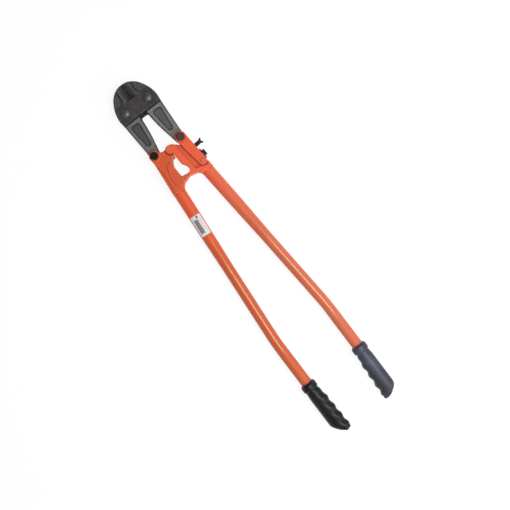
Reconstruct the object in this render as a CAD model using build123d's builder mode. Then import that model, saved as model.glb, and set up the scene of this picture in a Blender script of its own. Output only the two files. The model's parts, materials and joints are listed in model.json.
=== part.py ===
from build123d import *
import os
from math import cos, pi, radians, sin, sqrt, tan

os.makedirs("parts", exist_ok=True)

# Bolt cutters of the 36-inch size, closed and lying flat. Millimetres.
# X runs across the tool, +Y points to the jaws, +Z up from the floor.
# Outlines are drawn on the middle plane and measured from the line through the two hinge bolts.
HINGE_Y = 283.0
MID_Z = 24.5
REACH = 60.0

# Places of the pivots, from the hinge line
PIVOT_X, PIVOT_Y = 30.0, 114.5
HINGE_X = 36.0
CENTRE_Y = -8.5
ARM_PIN_X, ARM_PIN_Y = 43.6, -71.5

# Jaws
TIP_Y = 174.0
EDGE_GAP = 0.004
HEEL_Y = 114.0
HEAD_HALF = 13.0
NECK_HALF = 7.0
TAIL_HALF = 11.0
SHOULDER_Y = 132.5
TAIL_TOP_Y = 90.2
TAIL_THIN_Y = 22.0
FORGING_DRAFT = 3.2
BEVEL_WIDTH = 12.0
PANEL_DEPTH, PANEL_WALL = 1.8, 1.8
FACET_WALL = 2.4
CROTCH_X, CROTCH_Y = 3.7, 88.6

# Link plates
PLATE_BOTTOM_Y, PLATE_TOP_Y = 93.8, 132.0
PLATE_IN, PLATE_OUT = 7.15, 13.15
PLATE_CHAMFER = 1.0
LUG_HALF, LUG_ROOT_HALF = 4.4, 6.4
SPOTFACE_R, SPOTFACE_DEPTH = 12.2, 0.8

# Fasteners
RUNNING, SNUG = 0.05, 0.02
PIVOT_R, PIVOT_THREAD_R = 7.0, 6.0
DOME_R, DOME_HEIGHT = 10.9, 6.0
PIVOT_NUT_FLATS = 19.0
HINGE_R = 5.0
HINGE_FLATS, HINGE_HEAD = 16.0, 6.4
HEAD_TURN = {"left": 19.0, "right": 12.0}
WASHER_THICK = 2.0
BOLT_END = MID_Z
NUT_SHOW = 1.4
CENTRE_PIN_R = 4.0
ARM_PIN_R, ARM_PIN_HEAD_R = 4.0, 5.2

# Yokes and adjusting arm
YOKE_HALF = 13.0
EAR_R, EAR_OUT, SLOT_HALF, SLOT_R = 12.5, 14.2, 7.2, 16.5
KNUCKLE_R, KNUCKLE_SLOT = 9.6, 8.75
TONGUE_R, TONGUE_HALF = 11.0, 8.5
KNUCKLE_PLAY = 4.0
TONGUE_HOLE_R = 8.1
STOP_GAP = 0.1
FLANK_HALF, STEP_HALF = 7.0, 9.5
SPINE, FLANK_GAP = 4.6, 0.5
ARM_EDGE_X = 48.1
ARM_END_R = 10.0
CAST_ROUND, PANEL_RISE, REBATE_DEPTH = 1.6, 1.8, 2.2

# Adjusting screw and lock bolt in the arm's outer edge
SCREW_Y, LOCK_Y = -33.0, -57.5
SCREW_R, SCREW_ROOM, SCREW_SHOW = 4.6, 0.25, 14.0
SCREW_TIP_GAP = 0.05
LOCK_R, LOCK_FLATS, LOCK_HEAD = 4.0, 13.0, 6.0
LOCK_WASHER_R, LOCK_WASHER_THICK, LOCK_WASHER_GAP = 12.5, 2.5, 0.3
THREAD_DEPTH = 14.0

# Handle tubes and grips
SPLAY = 0.0761
TUBE_X, TUBE_REF_Y = 40.5, -95.0
TUBE_R, TUBE_WALL = 12.7, 2.3
OVAL_X, OVAL_Z = 14.4, 10.6
OVAL_END_Y, ROUND_Y = -175.0, -290.0
BEND_Y, BEND_R = -490.0, 400.0
TUBE_END_Y = -710.0
SPIGOT = 34.0
GRIP_TOP_Y, GRIP_LENGTH = -605.0, 135.0
FLANGE_R, FLANGE_LENGTH, FLANGE_ROUND = 18.0, 20.0, 6.5
FINGER_PITCH, FINGER_DEPTH = 25.0, 1.8
GRIP_STATIONS = 20
GRIP_TURN = {"left": 25.0, "right": -22.0}
GRIP_END_ROUND = {"left": 1.7, "right": 2.5}
VENT_X, VENT_Y, VENT_R, VENT_FLOOR = 64.0, -733.5, 2.2, 3.0

mid = Plane(origin=(0, HINGE_Y, MID_Z))
side_view = Plane(origin=(0, HINGE_Y, MID_Z), x_dir=(0, 1, 0), z_dir=(1, 0, 0))
SIDES = {"left": -1, "right": 1}
TUBE_TOP_Y = {"left": -96.0, "right": -92.0}


def save(builder, name):
    """Label a finished piece and write its file."""
    builder.part.label = name
    export_step(builder.part, f"parts/{name}.step")


def disc(x, y, radius):
    """A round sketch."""
    with BuildSketch() as sketch:
        with Locations((x, y)):
            Circle(radius)
    return sketch.sketch


def area(*points):
    """A straight-sided sketch."""
    with BuildSketch() as sketch:
        with BuildLine():
            Polyline(*points, close=True)
        make_face()
    return sketch.sketch


def through(sketch, half, mode=Mode.ADD):
    """Add or cut a sketch from the middle plane out to half on both sides."""
    extrude(mid * sketch, amount=half, both=True, mode=mode)


def both_faces(sketch, low, high, mode=Mode.ADD):
    """Add or cut a sketch between low and high off the middle plane, front and back."""
    for plane in (mid.offset(low), mid.offset(-high)):
        extrude(plane * sketch, amount=high - low, mode=mode)


def rims(builder, half):
    """Edges of a piece on its front and back faces, half off the middle plane."""
    front = builder.edges().filter_by_position(Axis.Z, MID_Z + half, MID_Z + half)
    back = builder.edges().filter_by_position(Axis.Z, MID_Z - half, MID_Z - half)
    return front + back


def bore(x, y, radius):
    """Cut a round hole right through, square to the middle plane."""
    through(disc(x, y, radius), REACH, Mode.SUBTRACT)


def turned(x, y, profile):
    """Turn a profile of radius and height about the upright axis through x, y."""
    centre = (x, HINGE_Y + y, MID_Z)
    profile_plane = Plane(origin=centre, x_dir=(1, 0, 0), z_dir=(0, -1, 0))
    revolve(profile_plane * profile, axis=Axis(centre, (0, 0, 1)))


def hexagon(plane, flats, height):
    """A hexagon head or nut on a plane, with its far corners turned off."""
    corner = flats / sqrt(3)
    drop = (corner - flats / 2) * tan(radians(30))
    with BuildSketch() as six_sides:
        RegularPolygon(flats / 2, 6, major_radius=False)
    block = extrude(plane * six_sides.sketch, amount=height, mode=Mode.PRIVATE)
    profile_plane = Plane(origin=plane.origin, x_dir=plane.x_dir, z_dir=-plane.y_dir)
    profile = area((0, 0), (corner, 0), (corner, height - drop), (flats / 2, height), (0, height))
    cone = revolve(profile_plane * profile, axis=Axis(plane.origin, plane.z_dir), mode=Mode.PRIVATE)
    add(block & cone)


def tube_x(y):
    """Distance of a handle tube's axis from the middle, at y above the bend."""
    return TUBE_X + SPLAY * (TUBE_REF_Y - y)


def tube_plane(side, y):
    """Plane square to a handle tube above the bend, looking down the tube."""
    return Plane(
        origin=(side * tube_x(y), HINGE_Y + y, MID_Z),
        x_dir=(side, SPLAY, 0),
        z_dir=(side * SPLAY, -1, 0),
    )


def arm_edge_x(y):
    """Outer edge of the adjusting arm at y."""
    return ARM_EDGE_X - SPLAY * y


def edge_plane(y):
    """Plane on the arm's outer edge at y, facing outwards."""
    return Plane(
        origin=(arm_edge_x(y), HINGE_Y + y, MID_Z), x_dir=(-SPLAY, 1, 0), z_dir=(1, SPLAY, 0)
    )


# Jaws: forged, thin where the link plates sit, with a bevelled edge and a tapered tail

def jaw_outline(inset):
    """Right jaw seen from the front, drawn in by inset all round except on the cutting face."""
    top_y = TIP_Y - inset
    shoulder, waist = (39.5 - 0.8 * inset, 150 - 0.6 * inset), (52 - inset, 108)
    fork, heel = (46.5 - inset, 2), (22.5 + inset, -4)
    inner_low, inner_high = (16.8 + inset, 25), (9.0 + inset, 83)
    crotch = (CROTCH_X + 0.3 * inset, CROTCH_Y - 0.5 * inset)
    with BuildSketch() as sketch:
        with BuildLine():
            Line((EDGE_GAP, HEEL_Y), (EDGE_GAP, top_y))
            ThreePointArc((EDGE_GAP, top_y), (22 - 0.4 * inset, 168 - 0.9 * inset), shoulder)
            ThreePointArc(shoulder, (47.8 - inset, 133), waist)
            Polyline(waist, (50 - inset, 90), (46 - inset, 18), fork)
            ThreePointArc(fork, (35, -12 + inset), heel)
            Line(heel, inner_low)
            ThreePointArc(inner_low, (12.0 + inset, 52), inner_high)
            ThreePointArc(inner_high, (7.1 + 0.8 * inset, 87.0 - 0.6 * inset), crotch)
            Line(crotch, (EDGE_GAP, HEEL_Y))
        make_face()
    return sketch.sketch


def jaw_facet(inset):
    """Lowered corner outside the strip along the cutting edge, grown inwards by inset."""
    high, turn, low = (20.4 - inset, 147), (23.0 - 0.8 * inset, 138 - 0.5 * inset), (30 - inset, SHOULDER_Y)
    with BuildSketch() as sketch:
        with BuildLine():
            Line((high[0], 180), high)
            ThreePointArc(high, turn, low)
            Polyline(low, (60, SHOULDER_Y), (60, 180), (high[0], 180))
        make_face()
    return sketch.sketch


def web_corner():
    """Inner corner above the tail, where only the thin web goes on to the middle."""
    return area((-1, 78), (8.0, 80), (10.4, 84), (10.4, TAIL_TOP_Y + 1), (-1, TAIL_TOP_Y + 1))


def tail_panel(inset):
    """Drop-shaped panel sunk into a jaw tail, measured along the tail's sloping face."""
    top_y, low_y = 83 - inset, 25 + inset
    wide, narrow = 11 - inset, 6.2 - inset
    shoulder_y, knee_y, corner = 76, 31, 4.5
    with BuildSketch() as sketch:
        with BuildLine():
            top = Line((corner - wide, top_y), (wide - corner, top_y))
            ThreePointArc(top @ 1, (wide - 1.2, top_y - 2.2), (wide, shoulder_y))
            Line((wide, shoulder_y), (narrow, knee_y))
            ThreePointArc((narrow, knee_y), (0, low_y), (-narrow, knee_y))
            Line((-narrow, knee_y), (-wide, shoulder_y))
            ThreePointArc((-wide, shoulder_y), (1.2 - wide, top_y - 2.2), top @ 0)
        make_face()
    return sketch.sketch


with BuildPart() as right_jaw:
    for half in (-HEAD_HALF, HEAD_HALF):
        loft([mid * jaw_outline(0), mid.offset(half) * jaw_outline(FORGING_DRAFT)], ruled=True)
    side_profile = area(
        (-20, -NECK_HALF), (TAIL_THIN_Y, -NECK_HALF), (TAIL_TOP_Y, -TAIL_HALF),
        (TAIL_TOP_Y, -NECK_HALF), (SHOULDER_Y, -NECK_HALF), (SHOULDER_Y, -HEAD_HALF),
        (TIP_Y + 5, -HEAD_HALF), (TIP_Y + 5, HEAD_HALF), (SHOULDER_Y, HEAD_HALF),
        (SHOULDER_Y, NECK_HALF), (TAIL_TOP_Y, NECK_HALF), (TAIL_TOP_Y, TAIL_HALF),
        (TAIL_THIN_Y, NECK_HALF), (-20, NECK_HALF),
    )
    extrude(side_view * side_profile, amount=REACH, both=True, mode=Mode.INTERSECT)
    both_faces(web_corner(), NECK_HALF, HEAD_HALF, Mode.SUBTRACT)
    for face in (-1, 1):
        facet_floor = mid.offset(face * NECK_HALF) * jaw_facet(0)
        facet_rim = mid.offset(face * HEAD_HALF) * jaw_facet(FACET_WALL)
        loft([facet_floor, facet_rim], ruled=True, mode=Mode.SUBTRACT)
    bevel_plane = Plane(origin=(0, HINGE_Y + SHOULDER_Y, MID_Z), x_dir=(1, 0, 0), z_dir=(0, 1, 0))
    for face in (-1, 1):
        bevel = area(
            (-1, 0.5 * face), (EDGE_GAP, 0.5 * face),
            (BEVEL_WIDTH, HEAD_HALF * face), (-1, HEAD_HALF * face),
        )
        extrude(bevel_plane * bevel, amount=TIP_Y, mode=Mode.SUBTRACT)
    slope = (TAIL_HALF - NECK_HALF) / (TAIL_TOP_Y - TAIL_THIN_Y)
    for face in (-1, 1):
        panel_floor = Plane(
            origin=(PIVOT_X, HINGE_Y, MID_Z + face * (NECK_HALF - slope * TAIL_THIN_Y - PANEL_DEPTH)),
            x_dir=(1, 0, 0),
            z_dir=(0, -slope * face, 1),
        )
        above = panel_floor.offset(2 * PANEL_DEPTH * face)
        hollow = [panel_floor * tail_panel(PANEL_WALL), above * tail_panel(-PANEL_WALL)]
        loft(hollow, ruled=True, mode=Mode.SUBTRACT)
    bore(PIVOT_X, PIVOT_Y, PIVOT_R + RUNNING)
    bore(HINGE_X, 0, HINGE_R + RUNNING)
save(right_jaw, "right_jaw")

with BuildPart() as left_jaw:
    add(mirror(right_jaw.part, about=Plane.YZ, mode=Mode.PRIVATE))
save(left_jaw, "left_jaw")


# Link plates: one in front of the jaws, one behind

def plate_outline():
    """Link plate, straight below and above, with sides that follow the jaws."""
    with BuildSketch() as sketch:
        with BuildLine():
            Line((-49.5, PLATE_BOTTOM_Y), (49.5, PLATE_BOTTOM_Y))
            ThreePointArc((49.5, PLATE_BOTTOM_Y), (50.3, 112), (46, PLATE_TOP_Y))
            Line((46, PLATE_TOP_Y), (-46, PLATE_TOP_Y))
            ThreePointArc((-46, PLATE_TOP_Y), (-50.3, 112), (-49.5, PLATE_BOTTOM_Y))
        make_face()
    return sketch.sketch


def plate_lug():
    """Short lug of the back plate that covers the gap between the two jaws."""
    root_y = PLATE_BOTTOM_Y + 2 * PLATE_CHAMFER
    return area(
        (-LUG_ROOT_HALF, root_y), (-LUG_HALF, CROTCH_Y), (LUG_HALF, CROTCH_Y), (LUG_ROOT_HALF, root_y)
    )


for name, face in (("front", 1), ("back", -1)):
    with BuildPart() as link_plate:
        plate_seat_plane = mid.offset(face * PLATE_IN)
        plate_thick = face * (PLATE_OUT - PLATE_IN)
        extrude(plate_seat_plane * plate_outline(), amount=plate_thick)
        if name == "back":
            extrude(plate_seat_plane * plate_lug(), amount=plate_thick)
        outer = link_plate.faces().sort_by(Axis.Z)[-1 if face > 0 else 0]
        chamfer(outer.outer_wire().edges().sort_by(Axis.Y)[:-1], PLATE_CHAMFER)
        spotface_plane = mid.offset(face * (PLATE_OUT - SPOTFACE_DEPTH))
        for side in SIDES.values():
            bore(side * PIVOT_X, PIVOT_Y, PIVOT_R + RUNNING)
            spotface = disc(side * PIVOT_X, PIVOT_Y, SPOTFACE_R)
            extrude(spotface_plane * spotface, amount=face * PLATE_OUT, mode=Mode.SUBTRACT)
    save(link_plate, f"{name}_link_plate")


# Pivot bolts with domed heads, and hinge bolts with hexagon heads, each with a washer and a nut behind

def dome_profile(seat):
    """Domed head, shank and threaded end of a pivot bolt, to be turned."""
    rim = (DOME_R, seat + 1.2)
    with BuildSketch() as sketch:
        with BuildLine():
            ThreePointArc((0, seat + DOME_HEIGHT), (DOME_R * 0.62, seat + DOME_HEIGHT * 0.84), rim)
            Polyline(
                rim, (DOME_R, seat), (PIVOT_R, seat), (PIVOT_R, -PLATE_OUT + SPOTFACE_DEPTH),
                (PIVOT_THREAD_R, -PLATE_OUT + SPOTFACE_DEPTH), (PIVOT_THREAD_R, -BOLT_END + 1),
                (PIVOT_THREAD_R - 1, -BOLT_END), (0, -BOLT_END), (0, seat + DOME_HEIGHT),
            )
        make_face()
    return sketch.sketch


for name, side in SIDES.items():
    pivot_x, hinge_x = side * PIVOT_X, side * HINGE_X
    plate_seat = PLATE_OUT - SPOTFACE_DEPTH

    with BuildPart() as pivot_bolt:
        turned(pivot_x, PIVOT_Y, dome_profile(plate_seat))
    save(pivot_bolt, f"{name}_pivot_bolt")

    with BuildPart() as hinge_bolt:
        turn = radians(HEAD_TURN[name])
        head_seat = Plane(origin=(hinge_x, HINGE_Y, MID_Z + EAR_OUT), x_dir=(sin(turn), cos(turn), 0))
        hexagon(head_seat, HINGE_FLATS, HINGE_HEAD)
        shank = area(
            (0, EAR_OUT), (HINGE_R, EAR_OUT), (HINGE_R, -BOLT_END + 1),
            (HINGE_R - 1, -BOLT_END), (0, -BOLT_END),
        )
        turned(hinge_x, 0, shank)
    save(hinge_bolt, f"{name}_hinge_bolt")

    for joint, x, y, seat, shank_r, flats in (
        ("pivot", pivot_x, PIVOT_Y, plate_seat, PIVOT_THREAD_R, PIVOT_NUT_FLATS),
        ("hinge", hinge_x, 0, EAR_OUT, HINGE_R, HINGE_FLATS),
    ):
        nut_seat = seat + WASHER_THICK
        with BuildPart() as washer:
            extrude(mid.offset(-nut_seat) * disc(x, y, flats * 0.62), amount=WASHER_THICK)
            bore(x, y, shank_r + 2 * RUNNING)
        save(washer, f"{name}_{joint}_washer")

        with BuildPart() as nut:
            hexagon(
                Plane(origin=(x, HINGE_Y + y, MID_Z - nut_seat), x_dir=(1, 0, 0), z_dir=(0, 0, -1)),
                flats,
                BOLT_END - NUT_SHOW - nut_seat,
            )
            bore(x, y, shank_r + 2 * RUNNING)
        save(nut, f"{name}_{joint}_nut")


# Left yoke: fork for the left jaw, tongue of the centre joint, stop nose and spigot

def left_yoke_outline():
    """Left casting seen from the front, without its round ear and tongue."""
    shoulder = tube_plane(-1, TUBE_TOP_Y["left"])
    shoulder_mid = (-tube_x(TUBE_TOP_Y["left"]), TUBE_TOP_Y["left"])
    outer_end = (shoulder_mid[0] + OVAL_X * shoulder.x_dir.X, shoulder_mid[1] + OVAL_X * shoulder.x_dir.Y)
    inner_end = (shoulder_mid[0] - OVAL_X * shoulder.x_dir.X, shoulder_mid[1] - OVAL_X * shoulder.x_dir.Y)
    with BuildSketch() as sketch:
        with BuildLine():
            ThreePointArc((-8, -1), (-14, -2.6), (-22, 1))
            Polyline((-22, 1), (-HINGE_X, 0), (-47.8, -4), (-47.2, -16), outer_end, inner_end)
            ThreePointArc(inner_end, (-22.3, -90.5), (-14, -85))
            Polyline((-14, -85), (-STOP_GAP, -80.5), (-STOP_GAP, -74), (-8, -72.5))
            ThreePointArc((-8, -72.5), (-13.2, -71), (-15, -66))
            Line((-15, -66), (-15.5, -52))
            ThreePointArc((-15.5, -52), (-14.2, -39), (-10.4, -31.5))
            Polyline((-10.4, -31.5), (-7.6, -28.4), (-0.6, -26.4), (-0.6, -21), (-4, CENTRE_Y), (-8, -1))
        make_face()
    return sketch.sketch


def left_yoke_panel():
    """Raised panel beside the window."""
    return area(
        (-24, -32.5), (-14.2, -32.5), (-16.9, -39), (-17.8, -52), (-17.3, -67), (-14, -75), (-16, -84),
        (-22.5, -90), (-32, -88), (-35.8, -83), (-36.3, -72), (-35.4, -59), (-32, -47), (-28.3, -36),
    )


def left_yoke_rebate():
    """Step down along the outer edge, from the fork to the tube."""
    return area(
        (-44.6, -24), (-42.8, -45), (-44, -67), (-46.6, -84), (-50.5, -97), (-62, -100), (-54, -24)
    )


def spigot(side, name):
    """Oval spigot of a casting inside its handle tube."""
    with BuildSketch() as oval:
        Ellipse(OVAL_X - TUBE_WALL - 0.3, OVAL_Z - TUBE_WALL - 0.3)
    extrude(tube_plane(side, TUBE_TOP_Y[name]) * oval.sketch, amount=SPIGOT)


with BuildPart() as left_yoke:
    through(left_yoke_outline(), YOKE_HALF)
    fillet(rims(left_yoke, YOKE_HALF), CAST_ROUND)
    through(disc(-HINGE_X, 0, EAR_R), EAR_OUT)
    fillet(rims(left_yoke, EAR_OUT), CAST_ROUND)
    both_faces(disc(0, CENTRE_Y, KNUCKLE_R + KNUCKLE_PLAY), TONGUE_HALF, YOKE_HALF + 1, Mode.SUBTRACT)
    through(disc(0, CENTRE_Y, TONGUE_R), TONGUE_HALF)
    through(disc(-HINGE_X, 0, SLOT_R), SLOT_HALF, Mode.SUBTRACT)
    both_faces(left_yoke_rebate(), YOKE_HALF - REBATE_DEPTH, YOKE_HALF + 1, Mode.SUBTRACT)
    both_faces(left_yoke_panel(), YOKE_HALF, YOKE_HALF + PANEL_RISE)
    fillet(rims(left_yoke, YOKE_HALF + PANEL_RISE), PANEL_RISE / 2)
    spigot(-1, "left")
    bore(-HINGE_X, 0, HINGE_R + RUNNING)
    bore(0, CENTRE_Y, TONGUE_HOLE_R)
save(left_yoke, "left_yoke")


# Right yoke: knuckle ears of the centre joint, flank inside the adjusting arm, stop nose and spigot

def right_yoke_outline():
    """Full-thickness part of the right casting seen from the front, without its round ear."""
    top_y = TUBE_TOP_Y["right"]
    shoulder = tube_plane(1, top_y)
    outer_end = (tube_x(top_y) + OVAL_X * shoulder.x_dir.X, top_y + OVAL_X * shoulder.x_dir.Y)
    inner_end = (tube_x(top_y) - OVAL_X * shoulder.x_dir.X, top_y - OVAL_X * shoulder.x_dir.Y)
    with BuildSketch() as sketch:
        with BuildLine():
            Polyline((4, CENTRE_Y), (6.5, 1.6), (15.5, -5.5), (16, -25), (20.5, -76), (34.3, -78))
            ThreePointArc((34.3, -78), (ARM_PIN_X, -82.9), (54.2, -77))
            Polyline((54.2, -77), outer_end, inner_end)
            ThreePointArc(inner_end, (21.5, -86.6), (14, -83.2))
            Polyline((14, -83.2), (STOP_GAP, -80.5), (STOP_GAP, -74))
            FilletPolyline((STOP_GAP, -74), (9, -72.5), (8.8, -58.5), (1.4, -46.5), (0.2, -19), radius=5)
            Line((0.2, -19), (4, CENTRE_Y))
        make_face()
    return sketch.sketch


def right_yoke_step():
    """Lowered strip between the full casting and the adjusting arm."""
    return area(
        (15, -5.2), (20, -9.2), (23.2, -12.5), (25.7, -30), (28.7, -50), (31.6, -74), (34, -80), (19, -80)
    )


def right_yoke_flank():
    """Tongue of the right casting between the cheeks of the adjusting arm."""
    inset = SPINE + FLANK_GAP
    top_y, low_y = -12, -84
    return area(
        (19, -10), (24, top_y), (arm_edge_x(top_y) - inset, top_y),
        (arm_edge_x(low_y) - inset, low_y), (20, low_y),
    )


with BuildPart() as right_yoke:
    through(right_yoke_outline(), YOKE_HALF)
    fillet(rims(right_yoke, YOKE_HALF), CAST_ROUND)
    through(disc(0, CENTRE_Y, KNUCKLE_R), YOKE_HALF)
    through(right_yoke_step(), STEP_HALF)
    through(right_yoke_flank(), FLANK_HALF)
    through(disc(0, CENTRE_Y, TONGUE_R + KNUCKLE_PLAY), KNUCKLE_SLOT, Mode.SUBTRACT)
    through(disc(HINGE_X, 0, SLOT_R + 0.3), STEP_HALF, Mode.SUBTRACT)
    spigot(1, "right")
    bore(0, CENTRE_Y, CENTRE_PIN_R + SNUG)
    bore(ARM_PIN_X, ARM_PIN_Y, ARM_PIN_R + SNUG)
    with BuildSketch(edge_plane(LOCK_Y)):
        Circle(LOCK_R + SNUG)
    extrude(amount=-SPINE - THREAD_DEPTH - 1, mode=Mode.SUBTRACT)
save(right_yoke, "right_yoke")

with BuildPart() as centre_pivot_pin:
    through(disc(0, CENTRE_Y, CENTRE_PIN_R), YOKE_HALF)
save(centre_pivot_pin, "centre_pivot_pin")


# Adjusting arm: two cheeks and an outer spine, forked at the top for the right jaw

def arm_outline():
    """Adjusting arm seen from the front, without its round ends."""
    return area(
        (HINGE_X, 0), (24, -4), (27, -30), (30, -50), (33.7, ARM_PIN_Y), (ARM_PIN_X, ARM_PIN_Y - 2),
        (arm_edge_x(ARM_PIN_Y), ARM_PIN_Y), (arm_edge_x(-4), -4),
    )


def arm_channel():
    """Room between the cheeks, inside the spine."""
    return area((15, -8), (arm_edge_x(-8) - SPINE, -8), (arm_edge_x(-90) - SPINE, -90), (15, -90))


with BuildPart() as adjusting_arm:
    through(arm_outline(), EAR_OUT)
    through(disc(HINGE_X, 0, EAR_R), EAR_OUT)
    through(disc(ARM_PIN_X, ARM_PIN_Y, ARM_END_R), EAR_OUT)
    fillet(rims(adjusting_arm, EAR_OUT), CAST_ROUND)
    through(disc(HINGE_X, 0, SLOT_R), SLOT_HALF, Mode.SUBTRACT)
    through(arm_channel(), SLOT_HALF, Mode.SUBTRACT)
    bore(HINGE_X, 0, HINGE_R + SNUG)
    bore(ARM_PIN_X, ARM_PIN_Y, ARM_PIN_R + RUNNING)
    for y, radius in ((SCREW_Y, SCREW_R + SCREW_ROOM), (LOCK_Y, LOCK_R + 0.6)):
        with BuildSketch(edge_plane(y)):
            Circle(radius)
        extrude(amount=-SPINE - 1, mode=Mode.SUBTRACT)
save(adjusting_arm, "adjusting_arm")

with BuildPart() as arm_pin:
    rivet = area(
        (0, -EAR_OUT - 1.6), (ARM_PIN_HEAD_R - 1.2, -EAR_OUT - 1.6), (ARM_PIN_HEAD_R, -EAR_OUT - 0.2),
        (ARM_PIN_R, -EAR_OUT - 0.2), (ARM_PIN_R, EAR_OUT + 0.2), (ARM_PIN_HEAD_R, EAR_OUT + 0.2),
        (ARM_PIN_HEAD_R - 1.2, EAR_OUT + 1.6), (0, EAR_OUT + 1.6),
    )
    turned(ARM_PIN_X, ARM_PIN_Y, rivet)
save(arm_pin, "arm_pin")

# Adjusting screw with two ears, and the lock bolt with its large washer
with BuildPart() as adjusting_screw:
    screw_tip = FLANK_GAP - SCREW_TIP_GAP + SPINE
    base = edge_plane(SCREW_Y).offset(-screw_tip)
    with BuildSketch(base):
        Circle(SCREW_R)
    extrude(amount=screw_tip + SCREW_SHOW)
    ear_plane = Plane(origin=edge_plane(SCREW_Y).origin, x_dir=base.z_dir, z_dir=(0, 0, 1))
    for ear in (-1, 1):
        wing = area(
            (SCREW_SHOW - 2, 0), (SCREW_SHOW - 2, 3.8 * ear), (SCREW_SHOW + 4, 6.9 * ear),
            (SCREW_SHOW + 5.8, 5.0 * ear), (SCREW_SHOW + 3, 1.2 * ear), (SCREW_SHOW + 3, 0),
        )
        extrude(ear_plane * wing, amount=1.6, both=True)
save(adjusting_screw, "adjusting_screw")

with BuildPart() as lock_washer:
    with BuildSketch(edge_plane(LOCK_Y).offset(LOCK_WASHER_GAP)):
        Circle(LOCK_WASHER_R)
        Circle(LOCK_R + 0.1, mode=Mode.SUBTRACT)
    extrude(amount=LOCK_WASHER_THICK)
save(lock_washer, "lock_washer")

with BuildPart() as lock_bolt:
    head_plane = edge_plane(LOCK_Y).offset(LOCK_WASHER_GAP + LOCK_WASHER_THICK)
    hexagon(head_plane, LOCK_FLATS, LOCK_HEAD)
    with BuildSketch(head_plane):
        Circle(LOCK_R)
    extrude(amount=-(LOCK_WASHER_GAP + LOCK_WASHER_THICK + SPINE + THREAD_DEPTH))
save(lock_bolt, "lock_bolt")


# Handle tubes: oval below the casting, round further down, bent above the grip

for name, side in SIDES.items():
    with BuildPart() as handle_tube:
        for wall, mode in ((0, Mode.ADD), (TUBE_WALL, Mode.SUBTRACT)):
            for y, x_half, z_half in (
                (TUBE_TOP_Y[name], OVAL_X, OVAL_Z),
                (OVAL_END_Y, OVAL_X - 0.3, OVAL_Z + 0.2),
                ((OVAL_END_Y + ROUND_Y) / 2, (OVAL_X + TUBE_R) / 2, (OVAL_Z + TUBE_R) / 2),
                (ROUND_Y, TUBE_R, TUBE_R),
            ):
                with BuildSketch(tube_plane(side, y)):
                    Ellipse(x_half - wall, z_half - wall)
            loft(mode=mode)
        with BuildLine(mid) as run:
            FilletPolyline(
                (side * tube_x(ROUND_Y), ROUND_Y),
                (side * tube_x(BEND_Y), BEND_Y),
                (side * tube_x(BEND_Y), TUBE_END_Y),
                radius=BEND_R,
            )
        with BuildSketch(tube_plane(side, ROUND_Y)):
            Circle(TUBE_R)
            Circle(TUBE_R - TUBE_WALL, mode=Mode.SUBTRACT)
        sweep(path=run.wires()[0])
    save(handle_tube, f"{name}_tube")


# Grips: a flange, a neck and a body with finger ridges on the inner side, ending in a slant

def grip_section(s, end_round):
    """Crest line, ridged inner half, smooth outer half and half height of a grip at s below its top."""
    ridge = FINGER_DEPTH * cos(2 * pi * (s - 49) / FINGER_PITCH)
    rise = min(1.0, max(0.0, (s - 22) / 14))
    end = max(0.0, (s - 106) / (GRIP_LENGTH - 106))
    inner = 16 + rise * (3.0 + 0.05 * (s - 36)) - 4.0 * end**6
    outer = 15.4 + rise * 1.1 - 26.0 * end**end_round
    height = (15.4 + rise * 0.8) * sqrt(1 - 0.72 * end**2.2)
    half = (inner + outer) / 2
    return (inner - outer) / 2, half + rise * ridge, half, height


for name, side in SIDES.items():
    turn = radians(GRIP_TURN[name])
    grip_plane = Plane(
        origin=(side * tube_x(BEND_Y), HINGE_Y + GRIP_TOP_Y, MID_Z),
        x_dir=(-side * cos(turn), 0, sin(turn)),
        z_dir=(0, -1, 0),
    )
    with BuildPart() as grip:
        start = FLANGE_LENGTH - 4
        for i in range(GRIP_STATIONS):
            s = start + (GRIP_LENGTH - start) * i / (GRIP_STATIONS - 1)
            crest, inner, outer, height = grip_section(s, GRIP_END_ROUND[name])
            with BuildSketch(grip_plane.offset(s)):
                with BuildLine():
                    EllipticalCenterArc((crest, 0), inner, height, start_angle=-90, arc_size=180)
                    EllipticalCenterArc((crest, 0), outer, height, start_angle=90, arc_size=180)
                make_face()
        loft()
        flange_plane = Plane(origin=grip_plane.origin, x_dir=(1, 0, 0), z_dir=(0, 0, 1))
        with BuildSketch(flange_plane):
            with Locations((FLANGE_R / 2, -FLANGE_LENGTH / 2)):
                Rectangle(FLANGE_R, FLANGE_LENGTH)
            fillet(vertices().group_by(Axis.X)[-1], FLANGE_ROUND)
        revolve(axis=Axis(grip_plane.origin, (0, 1, 0)))
        with BuildSketch(grip_plane):
            Circle(TUBE_R + 0.03)
        extrude(amount=GRIP_TOP_Y - TUBE_END_Y + 1, mode=Mode.SUBTRACT)
        vent = disc(side * VENT_X, VENT_Y, VENT_R)
        extrude(mid.offset(VENT_FLOOR) * vent, amount=REACH, mode=Mode.SUBTRACT)
    save(grip, f"{name}_grip")
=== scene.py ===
"""Finishes and small made pieces of the bolt cutters, in metres, in the part's own frame."""
import json
from math import radians

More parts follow.
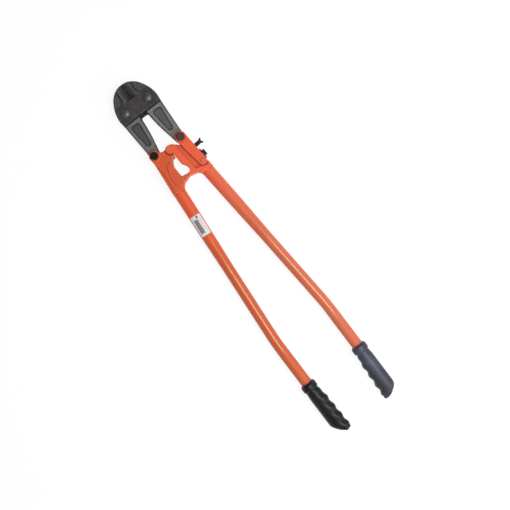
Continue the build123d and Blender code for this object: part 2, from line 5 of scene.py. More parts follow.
import bpy
import numpy as np
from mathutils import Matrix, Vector


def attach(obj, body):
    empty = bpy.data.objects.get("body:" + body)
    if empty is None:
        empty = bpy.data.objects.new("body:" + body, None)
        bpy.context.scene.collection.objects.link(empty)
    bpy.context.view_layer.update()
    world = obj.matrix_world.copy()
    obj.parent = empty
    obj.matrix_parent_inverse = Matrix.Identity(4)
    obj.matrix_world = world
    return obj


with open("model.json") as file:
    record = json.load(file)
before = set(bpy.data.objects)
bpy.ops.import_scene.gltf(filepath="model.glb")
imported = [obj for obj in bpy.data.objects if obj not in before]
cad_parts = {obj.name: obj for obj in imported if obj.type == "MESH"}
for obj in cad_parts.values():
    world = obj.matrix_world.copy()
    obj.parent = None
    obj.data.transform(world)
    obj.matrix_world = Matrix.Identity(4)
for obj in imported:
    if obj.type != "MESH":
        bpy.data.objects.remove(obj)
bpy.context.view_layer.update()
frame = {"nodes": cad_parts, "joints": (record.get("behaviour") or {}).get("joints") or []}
nodes = frame["nodes"]
scene = bpy.context.scene

# Places in the frame: the joints give the pivots, and places along the tool are taken from the hinge line
UP = (0, 0, 1)
joints = {joint["name"]: joint for joint in frame["joints"]}
PIVOT_X, PIVOT_Y, MID_Z = joints["right_jaw_swing"]["pos_m"]
HINGE_X, HINGE_Y = joints["right_arm_swing"]["pos_m"][:2]
SCREW_FOOT, SCREW_WAY = (np.array(joints["adjusting_screw_turn"][key]) for key in ("pos_m", "axis"))
SHOULDER_Y, BEVEL_X = HINGE_Y + 0.1325, 0.0121
TAIL_TOP_Y, TAIL_TOP_HALF = HINGE_Y + 0.0902, 0.011
TAIL_THIN_Y, TAIL_THIN_HALF = HINGE_Y + 0.022, 0.007
TAIL_TAPER = (TAIL_TOP_HALF - TAIL_THIN_HALF) / (TAIL_TOP_Y - TAIL_THIN_Y)
WEB_X = 0.0105
TUBE_X, TUBE_REF_Y, SPLAY = 0.0405, HINGE_Y - 0.095, 0.0761
RIGHT_TUBE_TOP_Y = HINGE_Y - 0.092
SHEEN_TOP_Y, SHEEN_END_Y = HINGE_Y - 0.113, HINGE_Y - 0.323
DULL_TOP_Y, DULL_END_Y = HINGE_Y - 0.498, HINGE_Y - 0.538
END_SHADE_TOP_Y, END_SHADE_END_Y = HINGE_Y - 0.658, HINGE_Y - 0.728

# Small pieces that are made here, with the steps of their grids
SCREW_LENGTH, SCREW_RADII, SCREW_PITCH = 0.0112, (0.0045, 0.0050), 0.00125
SCREW_CLEAR = 0.0004
BOLT_END_Z, BOLT_SHOW, BOLT_PITCH = 0.0011, 0.0012, 0.0006
HINGE_RADII, PIVOT_RADII = (0.0049, 0.0052), (0.0059, 0.0062)
THREAD_STEPS_ROUND, THREAD_STEPS_A_PITCH, THREAD_FADE_PITCHES = 40, 10, 0.6
BEAD_HALF, BEAD_THICK, BEAD_SWELL = (0.0143, 0.0105), 0.0013, 0.18
BEAD_RIPPLES, BEAD_DRIFTS = 34, 5
BEAD_STEPS_ROUND, BEAD_STEPS_SECTION = 160, 14
LABEL_TOP_Y, LABEL_END_Y = HINGE_Y - 0.1575, HINGE_Y - 0.2080
LABEL_INNER, LABEL_OUTER = 0.0121, -0.0117
LABEL_OVAL, LABEL_LIFT = (0.0141, 0.0111), 0.0003
LABEL_GAP, LABEL_THICK = 0.00010, 0.00012
LABEL_STEPS_ALONG, LABEL_STEPS_ACROSS = 40, 36
LABEL_BARS, LABEL_RULES = 290.0, 95.0

# Painted shade and soot in the corners of steel
SOOT_AND_SHADE = (0.006, 0.006, 0.007, 1)

# Floor, light and the photograph's frame
FLOOR_HALF = 60.0
FLOOR_COLOUR, FLOOR_GLOW, FLOOR_GLOW_SHARE = (0.9, 0.9, 0.9, 1), 1.05, 0.84
HORIZON_LEVEL, HORIZON_LOW, HORIZON_HIGH = 0.85, 0.12, 0.20
ROOM_BRIGHT_WAY, ROOM_DIM, ROOM_BRIGHT, ROOM_TURN = (0.5, -0.87, 0), 0.12, 0.80, 0.7
VIEW_SPAN, VIEW_DISTANCE, VIEW_FAR = 1.137, 1.65, 300.0
VIEW_CENTRE, VIEW_TURN = (0.0096, -0.0252), -37.1
SENSOR = 36.0


class Graph:
    """A node tree that grows by calls. A value is a constant or another node's output."""

    def __init__(self, tree):
        self.tree = tree

    def set(self, socket, value):
        """Link an output to a socket, or set a constant on it."""
        if isinstance(value, bpy.types.NodeSocket):
            self.tree.links.new(value, socket)
        else:
            socket.default_value = value

    def add(self, kind, settings=None, **inputs):
        """A node with its settings, and its inputs by name or, as _0 and _1, by number."""
        made = self.tree.nodes.new(kind)
        for key, value in (settings or {}).items():
            setattr(made, key, value)
        for key, value in inputs.items():
            self.set(made.inputs[int(key[1:]) if key[0] == "_" else key.replace("_", " ")], value)
        return made

    def math(self, operation, a, b=0.0, c=0.0):
        """One step of arithmetic."""
        return self.add("ShaderNodeMath", {"operation": operation}, _0=a, _1=b, _2=c).outputs[0]

    def times(self, a, b):
        """Product of two values."""
        return self.math("MULTIPLY", a, b)

    def dot(self, a, b):
        """Dot product of two vectors."""
        return self.add("ShaderNodeVectorMath", {"operation": "DOT_PRODUCT"}, _0=a, _1=b).outputs["Value"]

    def ramp(self, value, start, end, low, high, kind="LINEAR"):
        """Map of a value between start and end onto low to high, level beyond them."""
        ends = {"From_Min": start, "From_Max": end, "To_Min": low, "To_Max": high}
        return self.add("ShaderNodeMapRange", {"interpolation_type": kind}, Value=value, **ends).outputs[0]

    def ease(self, value, start, end):
        """Smooth step of a value from 0 at start to 1 at end."""
        return self.ramp(value, start, end, 0.0, 1.0, "SMOOTHSTEP")

    def span(self, share, low, high):
        """Straight map of a 0 to 1 share onto low to high."""
        return self.ramp(share, 0.0, 1.0, low, high)

    def within(self, value, low, high, soft):
        """1 between low and high, 0 outside them, with soft edges."""
        above = self.ease(value, low - soft, low + soft)
        return self.times(above, self.ease(value, high + soft, high - soft))

    def mix(self, share, a, b, blend="MIX"):
        """Colour a turned into b, or blended with it, by a share."""
        made = self.add("ShaderNodeMix", {"data_type": "RGBA", "blend_type": blend}, _0=share, _6=a, _7=b)
        return made.outputs[2]


class Finish(Graph):
    """A procedural finish on a piece's Object coordinates."""

    def __init__(self, name, **constants):
        self.material = bpy.data.materials.new(name)
        self.material.use_nodes = True
        super().__init__(self.material.node_tree)
        self.shader = self.tree.nodes["Principled BSDF"]
        self.drive(**constants)
        self.place = self.add("ShaderNodeTexCoord").outputs["Object"]
        axes = self.add("ShaderNodeSeparateXYZ", Vector=self.place).outputs
        self.x, self.y, self.z = axes["X"], axes["Y"], axes["Z"]

    def drive(self, **sockets):
        """Link outputs to the shader's sockets, or set constants on them."""
        for socket, value in sockets.items():
            self.set(self.shader.inputs[socket.replace("_", " ")], value)
        return self.material

    def noise(self, scale, detail=4.0, rough=0.55, stretch=(1, 1, 1)):
        """Fractal noise, scale in cells a metre, drawn out along an axis whose stretch is under 1."""
        moved = self.add("ShaderNodeMapping", Vector=self.place, Scale=stretch).outputs[0]
        made = self.add("ShaderNodeTexNoise", Vector=moved, Scale=scale, Detail=detail, Roughness=rough)
        return made.outputs["Fac"]

    def off_middle(self):
        """Height above or below the tool's middle plane."""
        return self.math("ABSOLUTE", self.math("SUBTRACT", self.z, MID_Z))

    def normal(self):
        """The surface normal."""
        return self.add("ShaderNodeNewGeometry").outputs["Normal"]

    def rounded(self, radius):
        """The surface normal with edges rounded by a radius."""
        return self.add("ShaderNodeBevel", {"samples": 6}, Radius=radius).outputs[0]

    def facing_up(self):
        """1 on faces that look up or down, 0 on side walls."""
        upright = self.add("ShaderNodeSeparateXYZ", Vector=self.normal()).outputs["Z"]
        return self.math("ABSOLUTE", upright)

    def crease(self, distance):
        """1 in narrow corners, 0 on open faces."""
        shade = self.add("ShaderNodeAmbientOcclusion", {"samples": 8}, Distance=distance)
        return self.math("SUBTRACT", 1.0, shade.outputs["AO"])

    def edge(self, radius, corner):
        """1 along outer edges within a radius, 0 on open faces and where the corner share is 1."""
        alike = self.dot(self.rounded(radius), self.normal())
        return self.times(self.ease(alike, 0.985, 0.90), self.math("SUBTRACT", 1.0, corner))

    def bump(self, height, depth, soften=0.0):
        """Bump of a height map, depth in metres, over edges softened by a small radius."""
        made = self.add("ShaderNodeBump", Height=height, Distance=depth, Strength=1.0)
        if soften:
            self.set(made.inputs["Normal"], self.rounded(soften))
        self.drive(Normal=made.outputs[0])


# Painted castings and tubes
def enamel(f, colour, pale, dusk, stretch=(1, 1, 1)):
    """Colour and grime-and-shade share of enamel: drifts of tone, pale scuffs, grime and painted shade in
    corners, thin paint on edges that is also a painted highlight.
    """
    scuffed, grimy_shade, thin_and_highlight = (0.80, 0.26, 0.11, 1), (0.26, 0.026, 0.009, 1), (0.95, 0.30, 0.15, 1)
    base = f.mix(f.span(f.noise(14, 3), -0.2, 1.2), dusk, pale)
    base = f.mix(f.ease(f.noise(45, 4, 0.55, stretch), 0.35, 0.75), base, colour)
    scuffs = f.ease(f.noise(140, 8, 0.7, (1, 0.35, 1)), 0.68, 0.76)
    base = f.mix(f.times(scuffs, 0.18), base, scuffed)
    # Corners darkened: painted shade, with some grime.
    grime_and_shade = f.times(f.ease(f.crease(0.008), 0.04, 0.40), f.span(f.noise(90, 4), 0.6, 1.1))
    base = f.mix(f.times(grime_and_shade, 0.8), base, grimy_shade)
    # Edges paler: thin worn paint, also a painted highlight along them.
    worn_and_lit_edge = f.times(f.edge(0.0026, f.crease(0.002)), f.span(f.noise(60, 4), 0.1, 0.9))
    return f.mix(worn_and_lit_edge, base, thin_and_highlight), grime_and_shade


def casting_enamel(name, colour, pale, dusk):
    """Enamel on a casting: satin, with orange peel and a mould seam at mid height, over softened edges."""
    f = Finish(name, IOR=1.40)
    base, grime_and_shade = enamel(f, colour, pale, dusk)
    peel = f.math("MULTIPLY_ADD", f.noise(420, 2), 0.5, f.noise(60, 2))
    seam = f.ease(f.off_middle(), 0.0007, 0.0003)
    f.bump(f.math("MULTIPLY_ADD", seam, 2.0, peel), 0.00010, soften=0.0017)
    rough = f.span(f.noise(40, 2, 0.5), 0.38, 0.47)
    return f.drive(Base_Color=base, Roughness=f.math("MULTIPLY_ADD", grime_and_shade, 0.2, rough))


def tube_enamel(name, colour, pale, dusk):
    """Enamel on a tube: glossy, drifts drawn out along it, with a painted broad sheen downwards that makes it
    paler and less red, dulled by hands near the grip.
    """
    along, varnish, sheen_tint = (1, 0.12, 1), (0.66, 1.0, 0.74, 1), (0.82, 1.04, 1.06, 1)
    f = Finish(name, IOR=1.57, Specular_Tint=varnish)
    base, grime_and_shade = enamel(f, colour, pale, dusk, along)
    # Paler and less red downwards: a painted broad sheen.
    base = f.mix(f.ease(f.y, SHEEN_TOP_Y, SHEEN_END_Y), base, sheen_tint, "MULTIPLY")
    rough = f.span(f.noise(40, 2, 0.5, along), 0.23, 0.32)
    rough = f.math("MULTIPLY_ADD", grime_and_shade, 0.2, rough)
    dulled = f.ease(f.y, DULL_TOP_Y, DULL_END_Y)
    return f.drive(Base_Color=base, Roughness=f.math("MULTIPLY_ADD", dulled, 0.35, rough))


# Steel of the head
def jaw_head(f, grain, bevel):
    """Colour of a jaw's head: dark and mottled, with the ground bevel of its cutting edge, in a painted-shade
    copy on the left jaw and a painted-light copy on the right.
    """
    dark, pale = (0.076, 0.070, 0.067, 1), (0.120, 0.111, 0.107, 1)
    # The two bevels take a darker and a lighter copy of one ground steel: painted shade and painted light.
    left_bevel_shaded, right_bevel_lit = (0.074, 0.068, 0.063, 1), (0.106, 0.098, 0.092, 1)
    ground = f.mix(f.ease(f.x, -0.0002, 0.0002), left_bevel_shaded, right_bevel_lit)
    return f.mix(bevel, f.mix(f.ease(grain, 0.3, 0.75), dark, pale), ground)


def jaw_tail(f, grain, fine):
    """Colour of a jaw's tail: grey face, darker on the left jaw, with a painted highlight and then a black
    line of painted shade at its top end, and a sunk darker panel.
    """
    dark, pale = (0.140, 0.141, 0.135, 1), (0.210, 0.211, 0.202, 1)
    sunk_dark, sunk_pale = (0.074, 0.076, 0.073, 1), (0.114, 0.116, 0.111, 1)
    left_darker, sunk_left_darker = (0.020, 0.021, 0.020, 1), (0.018, 0.019, 0.018, 1)
    bare, black = (0.30, 0.30, 0.29, 1), (0.010, 0.010, 0.011, 1)
    left = f.ease(f.x, 0.001, -0.001)
    face = f.mix(f.ease(grain, 0.28, 0.78), dark, pale)
    # Darker on the left jaw.
    face = f.mix(f.times(left, 0.18), face, left_darker)
    # A lighter band below the top end: painted highlight.
    rubbed = f.ease(f.y, TAIL_TOP_Y - 0.0035, TAIL_TOP_Y - 0.0010)
    face = f.mix(f.times(rubbed, 0.6), face, bare)
    # A black line along the top end: painted shade below the plate.
    face = f.mix(f.ease(f.y, TAIL_TOP_Y - 0.0014, TAIL_TOP_Y - 0.0008), face, black)
    panel = f.mix(f.ease(fine, 0.3, 0.7), sunk_dark, sunk_pale)
    panel = f.mix(f.times(left, 0.35), panel, sunk_left_darker)
    half = f.math("MULTIPLY_ADD", f.y, TAIL_TAPER, TAIL_THIN_HALF - TAIL_TAPER * TAIL_THIN_Y)
    height = f.math("SUBTRACT", f.off_middle(), half)
    return f.mix(f.ease(height, -0.0011, -0.0016), face, panel)


def jaw_steel():
    """Forged jaw: dark head, ground cutting bevels, grey tails, black scale and painted shade on its walls,
    painted shade on its web.
    """
    dark_scale_and_shade, pale_scale_and_shade = (0.004, 0.004, 0.005, 1), (0.011, 0.011, 0.012, 1)
    f = Finish("jaw_steel", IOR=1.5)
    grain, fine = f.noise(90, 7, 0.62), f.noise(700, 3, 0.6)
    across = f.math("ABSOLUTE", f.x)
    above_shoulder = f.ease(f.y, SHOULDER_Y - 0.001, SHOULDER_Y + 0.001)
    bevel = f.times(f.ease(across, BEVEL_X + 0.0005, BEVEL_X - 0.0005), above_shoulder)
    tail = f.ease(f.y, TAIL_TOP_Y + 0.001, TAIL_TOP_Y)
    colour = f.mix(tail, jaw_head(f, grain, bevel), jaw_tail(f, grain, fine))
    # Side walls go black: forge scale, also painted shade.
    wall = f.times(f.ease(f.facing_up(), 0.94, 0.74), f.math("SUBTRACT", 1.0, bevel))
    # The web below the plate goes black: painted shade.
    below_plate = f.ease(f.y, TAIL_TOP_Y + 0.004, TAIL_TOP_Y + 0.003)
    web_shade = f.times(f.ease(across, WEB_X + 0.0002, WEB_X - 0.0003), below_plate)
    wall = f.math("MAXIMUM", wall, web_shade)
    colour = f.mix(wall, colour, f.mix(f.ease(grain, 0.3, 0.7), dark_scale_and_shade, pale_scale_and_shade))
    # Corners darkened: painted shade, with soot.
    colour = f.mix(f.times(f.crease(0.004), 0.85), colour, SOOT_AND_SHADE)
    f.bump(f.math("MULTIPLY_ADD", fine, 0.5, grain), 0.00022, soften=0.0005)
    rough = f.span(f.math("MULTIPLY_ADD", fine, 0.4, grain), 0.36, 0.60)
    rough = f.math("MULTIPLY_ADD", wall, 0.4, rough)
    return f.drive(Base_Color=colour, Roughness=rough, Metallic=f.span(wall, 0.45, 0.0))


def plate_steel():
    """Blackened link plate: brownish in the middle, bluish towards its ends, rubbed along its edges."""
    brown, blue, mottle = (0.042, 0.037, 0.036, 1), (0.030, 0.032, 0.038, 1), (0.110, 0.104, 0.103, 1)
    bare, soot_and_shade = (0.15, 0.15, 0.155, 1), (0.008, 0.008, 0.009, 1)
    f = Finish("plate_steel", Metallic=0.4, IOR=1.6)
    grain, fine = f.noise(80, 7, 0.62), f.noise(600, 3, 0.6)
    ends = f.ease(f.math("ABSOLUTE", f.x), 0.012, 0.044)
    tone = f.mix(ends, brown, blue)
    tone = f.mix(f.times(f.ease(grain, 0.35, 0.8), 0.5), tone, mottle)
    corner = f.crease(0.002)
    rubbed = f.times(f.edge(0.0009, corner), f.span(grain, 0.1, 0.9))
    tone = f.mix(rubbed, tone, bare)
    # Corners darkened: painted shade, with soot.
    tone = f.mix(f.times(corner, 0.8), tone, soot_and_shade)
    f.bump(f.math("MULTIPLY_ADD", fine, 0.45, grain), 0.00022, soften=0.0005)
    return f.drive(Base_Color=tone, Roughness=f.span(grain, 0.40, 0.62))


# Fasteners, grips and the label's paper
def black_oxide(name, dark, rubbed, metal=0.3, pits=0.00008, axis=None):
    """Blackened fastener, rubbed on its faces, or round an axis rubbed in the middle and black at the rim."""
    rim = (0.010, 0.009, 0.009, 1)
    f = Finish(name, Metallic=metal, IOR=1.45)
    grain = f.noise(260, 6, 0.6)
    tone = f.mix(f.ease(grain, 0.4, 0.75), dark, rubbed)
    if axis:
        out_x, out_y = f.math("SUBTRACT", f.x, axis[0]), f.math("SUBTRACT", f.y, axis[1])
        out = f.math("SQRT", f.math("MULTIPLY_ADD", out_x, out_x, f.times(out_y, out_y)))
        tone = f.mix(f.ease(out, 0.0055, 0.0082), tone, rim)
    # Corners darkened: painted shade, with soot.
    tone = f.mix(f.times(f.crease(0.002), 0.7), tone, SOOT_AND_SHADE)
    f.bump(grain, pits, soften=0.0004)
    return f.drive(Base_Color=tone, Roughness=f.span(grain, 0.30, 0.42))


def grip_rubber(name, dark, pale, rough, gloss, shade_share=0.0):
    """Moulded grip: satin skin, broad paler patches, and painted shade in its folds, towards its end and on
    its sides.
    """
    end_shade, side_shade = (0.004, 0.004, 0.006, 1), (0.010, 0.014, 0.024, 1)
    fold_shade = (0.003, 0.003, 0.004, 1)
    f = Finish(name, IOR=gloss)
    tone = f.mix(f.ease(f.noise(22, 3, 0.5), 0.3, 0.75), dark, pale)
    if shade_share:
        # Darker towards its end and on its sides: painted shade.
        end = f.ease(f.y, END_SHADE_TOP_Y, END_SHADE_END_Y)
        tone = f.mix(f.times(end, shade_share), tone, end_shade)
        sides = f.ease(f.facing_up(), 0.99, 0.75)
        tone = f.mix(f.times(sides, shade_share), tone, side_shade)
    # Folds darkened: painted shade.
    tone = f.mix(f.times(f.crease(0.006), 0.6), tone, fold_shade)
    return f.drive(Base_Color=tone, Roughness=f.span(f.noise(30, 2), rough - 0.03, rough + 0.04))


def label_paper():
    """White paper with even grey bars, a block and plain rules that say nothing, on its own UV map."""
    shade, white = (0.70, 0.68, 0.67, 1), (0.80, 0.78, 0.77, 1)
    grey, bar_ink = (0.16, 0.165, 0.165, 1), (0.06, 0.062, 0.065, 1)
    block_ink, rule_ink = (0.06, 0.06, 0.065, 1), (0.35, 0.25, 0.27, 1)
    f = Finish("label_paper", IOR=1.4)
    split = f.add("ShaderNodeSeparateXYZ", Vector=f.add("ShaderNodeUVMap").outputs[0]).outputs
    u, v = split["X"], split["Y"]

    def block(u_low, u_high, v_low, v_high):
        """1 inside a rectangle of the paper."""
        return f.times(f.within(u, u_low, u_high, 0.01), f.within(v, v_low, v_high, 0.005))

    colour = f.mix(f.ease(f.noise(160, 5), 0.3, 0.8), shade, white)
    field = block(0.14, 0.56, 0.20, 0.88)
    colour = f.mix(f.times(field, 0.75), colour, grey)
    bars = f.ease(f.math("SINE", f.times(v, LABEL_BARS)), -0.7, 0.1)
    colour = f.mix(f.times(field, f.times(bars, 0.6)), colour, bar_ink)
    colour = f.mix(f.times(block(0.52, 0.70, 0.04, 0.17), 0.9), colour, block_ink)
    rules = f.ease(f.math("SINE", f.times(u, LABEL_RULES)), 0.2, 0.6)
    rules = f.times(block(0.64, 0.86, 0.24, 0.78), rules)
    colour = f.mix(f.times(rules, 0.4), colour, rule_ink)
    f.bump(f.noise(500, 3), 0.00004)
    return f.drive(Base_Color=colour, Roughness=f.span(f.noise(90, 3), 0.45, 0.6))


# Finishes of the solids, each paint as its colour, its pale drifts and its dusky drifts
left_casting = casting_enamel(
    "orange_left_casting", (0.69, 0.098, 0.029, 1), (0.74, 0.113, 0.035, 1), (0.62, 0.080, 0.021, 1))
right_casting = casting_enamel(
    "orange_right_casting", (0.855, 0.115, 0.041, 1), (0.89, 0.131, 0.048, 1), (0.79, 0.096, 0.031, 1))
left_paint = tube_enamel(
    "orange_left_tube", (0.76, 0.097, 0.032, 1), (0.80, 0.110, 0.038, 1), (0.71, 0.083, 0.024, 1))
right_paint = tube_enamel(
    "orange_right_tube", (0.79, 0.128, 0.062, 1), (0.83, 0.143, 0.073, 1), (0.74, 0.108, 0.049, 1))
jaw = jaw_steel()
plate = plate_steel()
dome = black_oxide("pivot_dome", (0.100, 0.101, 0.098, 1), (0.140, 0.141, 0.136, 1), metal=0.7, pits=0.00002)
left_black = black_oxide("hinge_black", (0.002, 0.002, 0.003, 1), (0.005, 0.005, 0.008, 1))
right_black = black_oxide("hinge_grey", (0.044, 0.042, 0.041, 1), (0.088, 0.085, 0.083, 1))
right_head = black_oxide(
    "hinge_grey_head", (0.052, 0.050, 0.048, 1), (0.100, 0.096, 0.094, 1), axis=(HINGE_X, HINGE_Y))
screw_black = black_oxide("screw_black", (0.005, 0.005, 0.009, 1), (0.015, 0.015, 0.022, 1))
left_rubber = grip_rubber("grip_black", (0.005, 0.005, 0.006, 1), (0.009, 0.0095, 0.011, 1), 0.42, 1.36)
right_rubber = grip_rubber(
    "grip_blue_grey", (0.046, 0.052, 0.075, 1), (0.074, 0.082, 0.116, 1), 0.45, 1.45, shade_share=0.45)

finishes = {
    "left_jaw": jaw, "right_jaw": jaw, "front_link_plate": plate, "back_link_plate": plate,
    "left_pivot_bolt": dome, "right_pivot_bolt": dome,
    "left_pivot_nut": right_black, "right_pivot_nut": right_black,
    "left_pivot_washer": right_black, "right_pivot_washer": right_black,
    "left_hinge_bolt": left_black, "left_hinge_nut": left_black, "left_hinge_washer": left_black,
    "right_hinge_bolt": right_head, "right_hinge_nut": right_black, "right_hinge_washer": right_black,
    "left_yoke": left_casting, "right_yoke": right_casting, "adjusting_arm": right_casting,
    "centre_pivot_pin": right_casting, "arm_pin": right_casting,
    "left_tube": left_paint, "right_tube": right_paint,
    "adjusting_screw": screw_black, "lock_bolt": screw_black, "lock_washer": screw_black,
    "left_grip": left_rubber, "right_grip": right_rubber,
}
for name, finish in finishes.items():
    nodes[name].data.materials.clear()
    nodes[name].data.materials.append(finish)


# Small made pieces
def skin(name, points, finish, body, ring=False, loop=False, capped=False):
    """A mesh from a grid of points, rows by columns, riding on a body.

    ring joins the last column to the first, loop the last row to the first, and capped closes both end rows.
    """
    rows, cols = points.shape[:2]
    grid = np.arange(rows * cols).reshape(rows, cols)
    index = np.pad(grid, ((0, int(loop)), (0, int(ring))), mode="wrap")
    quads = np.stack([index[:-1, :-1], index[:-1, 1:], index[1:, 1:], index[1:, :-1]], -1).reshape(-1, 4)
    caps = [grid[0, ::-1].tolist(), grid[-1].tolist()] if capped else []
    mesh = bpy.data.meshes.new(name)
    mesh.from_pydata(points.reshape(-1, 3).tolist(), [], quads.tolist() + caps)
    mesh.polygons.foreach_set("use_smooth", np.arange(len(quads) + len(caps)) < len(quads))
    mesh.materials.append(finish)
    made = bpy.data.objects.new(name, mesh)
    scene.collection.objects.link(made)
    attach(made, body)
    return made


def basis(axis):
    """Two unit vectors square to an axis, and the axis itself."""
    axis = np.array(axis, float) / np.linalg.norm(axis)
    side = np.cross(axis, UP if abs(axis[2]) < 0.9 else (1, 0, 0))
    side /= np.linalg.norm(side)
    return side, np.cross(axis, side), axis


def thread(name, start, axis, length, radii, pitch, finish, body):
    """Screw thread along s and round the turn: radius = root + (crest - root) * tooth * fade.

    tooth is a triangle wave of s / pitch - turn, and fade runs out to 0 at both ends.
    """
    root, crest = radii
    side, up, way = basis(axis)
    s = np.linspace(0, length, int(length / pitch * THREAD_STEPS_A_PITCH) + 2)[:, None, None]
    turn = np.linspace(0, 1, THREAD_STEPS_ROUND, endpoint=False)[None, :, None]
    tooth = 1 - np.abs(2 * np.mod(s / pitch - turn, 1) - 1)
    fade = np.clip(np.minimum(s, length - s) / (THREAD_FADE_PITCHES * pitch), 0, 1)
    radius = root + (crest - root) * tooth * fade
    angle = 2 * np.pi * turn
    points = np.array(start) + way * s + radius * (np.cos(angle) * side + np.sin(angle) * up)
    skin(name, points, finish, body, ring=True, capped=True)


def bead(name, centre, axis, finish, body):
    """Weld bead: an oval ring round an axis, with a round section that is square to the oval.

    The section's radius is thick * (1 + swell * sin(ripples * turn) * sin(drifts * turn + 1)).
    """
    side, up, way = basis(axis)
    half_wide, half_high = BEAD_HALF
    turn = np.linspace(0, 2 * np.pi, BEAD_STEPS_ROUND, endpoint=False)[None, :, None]
    lap = np.linspace(0, 2 * np.pi, BEAD_STEPS_SECTION, endpoint=False)[:, None, None]
    oval = half_wide * np.cos(turn) * side + half_high * np.sin(turn) * up
    out = np.cos(turn) / half_wide * side + np.sin(turn) / half_high * up
    out = out / np.linalg.norm(out, axis=-1, keepdims=True)
    radius = BEAD_THICK * (1 + BEAD_SWELL * np.sin(BEAD_RIPPLES * turn) * np.sin(BEAD_DRIFTS * turn + 1))
    points = np.array(centre) + oval + radius * (np.cos(lap) * out + np.sin(lap) * way)
    skin(name, points, finish, body, ring=True, loop=True)


def tube_axis(side, y):
    """Points on a tube's axis above its bend: x = side * (TUBE_X + SPLAY * the distance below TUBE_REF_Y)."""
    y = np.asarray(y, float)
    return np.stack([side * (TUBE_X + SPLAY * (TUBE_REF_Y - y)), y, MID_Z + 0 * y], -1)


def label():
    """Paper label on the left tube: points on ovals square to its axis, drawn on to the tube's surface.

    Height above the axis = half_high * sqrt(1 - (across / half_wide)^2), from the inner to the outer side.
    """
    half_wide, half_high = LABEL_OVAL
    y = np.linspace(LABEL_TOP_Y, LABEL_END_Y, LABEL_STEPS_ALONG)[:, None]
    across = np.linspace(LABEL_INNER, LABEL_OUTER, LABEL_STEPS_ACROSS)[None, :, None]
    square = np.array([1, -SPLAY, 0]) / np.hypot(1, SPLAY)
    rise = half_high * np.sqrt(1 - (across / half_wide) ** 2) + LABEL_LIFT
    points = tube_axis(-1, y) + across * square + rise * np.array(UP)
    made = skin("plain_label", points, label_paper(), "left_handle")
    u, v = np.meshgrid(np.linspace(1, 0, LABEL_STEPS_ACROSS), np.linspace(0, 1, LABEL_STEPS_ALONG))
    flat = np.stack([u, v], -1).reshape(-1, 2)
    corners = np.empty(len(made.data.loops), int)
    made.data.loops.foreach_get("vertex_index", corners)
    uv_map = made.data.uv_layers.new(name="label")
    uv_map.data.foreach_set("uv", flat[corners].astype(np.float32).ravel())
    hug = made.modifiers.new("on_tube", "SHRINKWRAP")
    hug.target = nodes["left_tube"]
    hug.wrap_mode = "ABOVE_SURFACE"
    hug.offset = LABEL_GAP
    paper = made.modifiers.new("paper", "SOLIDIFY")
    paper.thickness = LABEL_THICK
    paper.offset = 1.0


thread("adjusting_screw_thread", SCREW_FOOT + SCREW_WAY * SCREW_CLEAR, SCREW_WAY, SCREW_LENGTH,
       SCREW_RADII, SCREW_PITCH, screw_black, "adjusting_screw")
hands = (("left", -1, left_black, "left_handle"), ("right", 1, right_black, "adjusting_arm"))
for hand, side, black, holder in hands:
    thread(f"{hand}_hinge_thread", (side * HINGE_X, HINGE_Y, BOLT_END_Z), UP, BOLT_SHOW,
           HINGE_RADII, BOLT_PITCH, black, holder)
    thread(f"{hand}_pivot_thread", (side * PIVOT_X, PIVOT_Y, BOLT_END_Z), UP, BOLT_SHOW,
           PIVOT_RADII, BOLT_PITCH, right_black, "head")
bead("right_tube_bead", tube_axis(1, RIGHT_TUBE_TOP_Y), (SPLAY, -1, 0), right_casting, "right_handle")
label()


# Floor, light and camera
def floor_finish():
    """Pale floor that the camera sees as white, with the tool's soft shadow on it."""
    material = bpy.data.materials.new("pale_floor")
    material.use_nodes = True
    g = Graph(material.node_tree)
    g.tree.nodes.clear()
    rays = g.add("ShaderNodeLightPath").outputs
    seen = rays["Is Camera Ray"]
    for kind in ("Is Glossy Ray", "Is Transmission Ray"):
        seen = g.math("MAXIMUM", seen, rays[kind])
    matt = g.add("ShaderNodeBsdfDiffuse", Color=FLOOR_COLOUR).outputs[0]
    glow = g.add("ShaderNodeEmission", Strength=FLOOR_GLOW).outputs[0]
    both = g.add("ShaderNodeMixShader", _0=g.times(seen, FLOOR_GLOW_SHARE), _1=matt, _2=glow).outputs[0]
    g.add("ShaderNodeOutputMaterial", Surface=both)
    return material


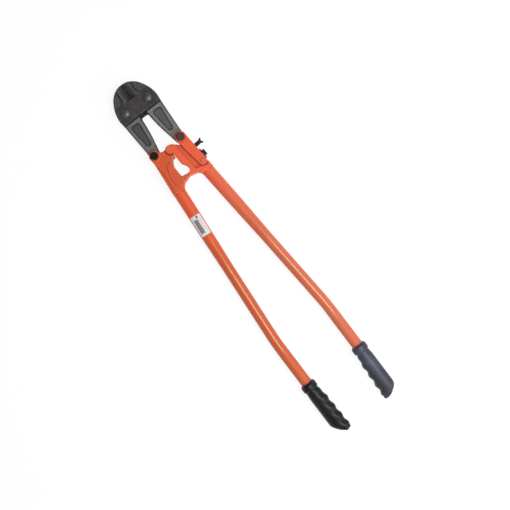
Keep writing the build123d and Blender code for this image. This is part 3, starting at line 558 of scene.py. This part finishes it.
def studio_room():
    """Room light: brighter past the grips and to the right than past the jaws, pale all round the horizon."""
    world = bpy.data.worlds.new("studio")
    world.use_nodes = True
    g = Graph(world.node_tree)
    ray = g.add("ShaderNodeTexCoord").outputs["Generated"]
    above = g.ramp(g.dot(ray, UP), HORIZON_LOW, HORIZON_HIGH, 0.0, 1.0)
    level = g.ramp(g.dot(ray, ROOM_BRIGHT_WAY), -ROOM_TURN, ROOM_TURN, ROOM_DIM, ROOM_BRIGHT)
    sky = g.tree.nodes["Background"]
    g.set(sky.inputs["Color"], (1.0, 1.0, 1.0, 1))
    g.set(sky.inputs["Strength"], g.add("ShaderNodeMix", _0=above, _2=HORIZON_LEVEL, _3=level).outputs[0])
    return world


def lamp(name, place, aim, size, power):
    """A soft rectangular lamp that looks at a point."""
    light = bpy.data.lights.new(name, "AREA")
    light.shape = "RECTANGLE"
    light.size, light.size_y = size
    light.energy = power
    made = bpy.data.objects.new(name, light)
    made.location = place
    made.rotation_euler = (Vector(aim) - Vector(place)).to_track_quat("-Z", "Y").to_euler()
    scene.collection.objects.link(made)


corners = [(-FLOOR_HALF, -FLOOR_HALF, 0), (FLOOR_HALF, -FLOOR_HALF, 0),
           (FLOOR_HALF, FLOOR_HALF, 0), (-FLOOR_HALF, FLOOR_HALF, 0)]
sheet = bpy.data.meshes.new("floor")
sheet.from_pydata(corners, [], [(0, 1, 2, 3)])
floor = bpy.data.objects.new("floor", sheet)
floor.data.materials.append(floor_finish())
scene.collection.objects.link(floor)

scene.world = studio_room()
lamp("key", (0.36, -0.35, 1.55), (0.36, -0.35, 0), (0.40, 0.70), 14.2)
lamp("side", (0.70, -1.60, 1.05), (0, 0, 0), (0.6, 0.6), 7.0)

# The photograph looks straight down, and its frame is VIEW_SPAN wide at the tool's middle height
lens = bpy.data.cameras.new("photo_camera")
lens.sensor_width = SENSOR
lens.lens = SENSOR * VIEW_DISTANCE / VIEW_SPAN
lens.clip_end = VIEW_FAR
camera = bpy.data.objects.new("photo_camera", lens)
camera.location = (*VIEW_CENTRE, MID_Z + VIEW_DISTANCE)
camera.rotation_euler = (0, 0, radians(VIEW_TURN))
scene.collection.objects.link(camera)
scene.camera = camera
scene.view_settings.view_transform = "Standard"

bpy.context.view_layer.update()
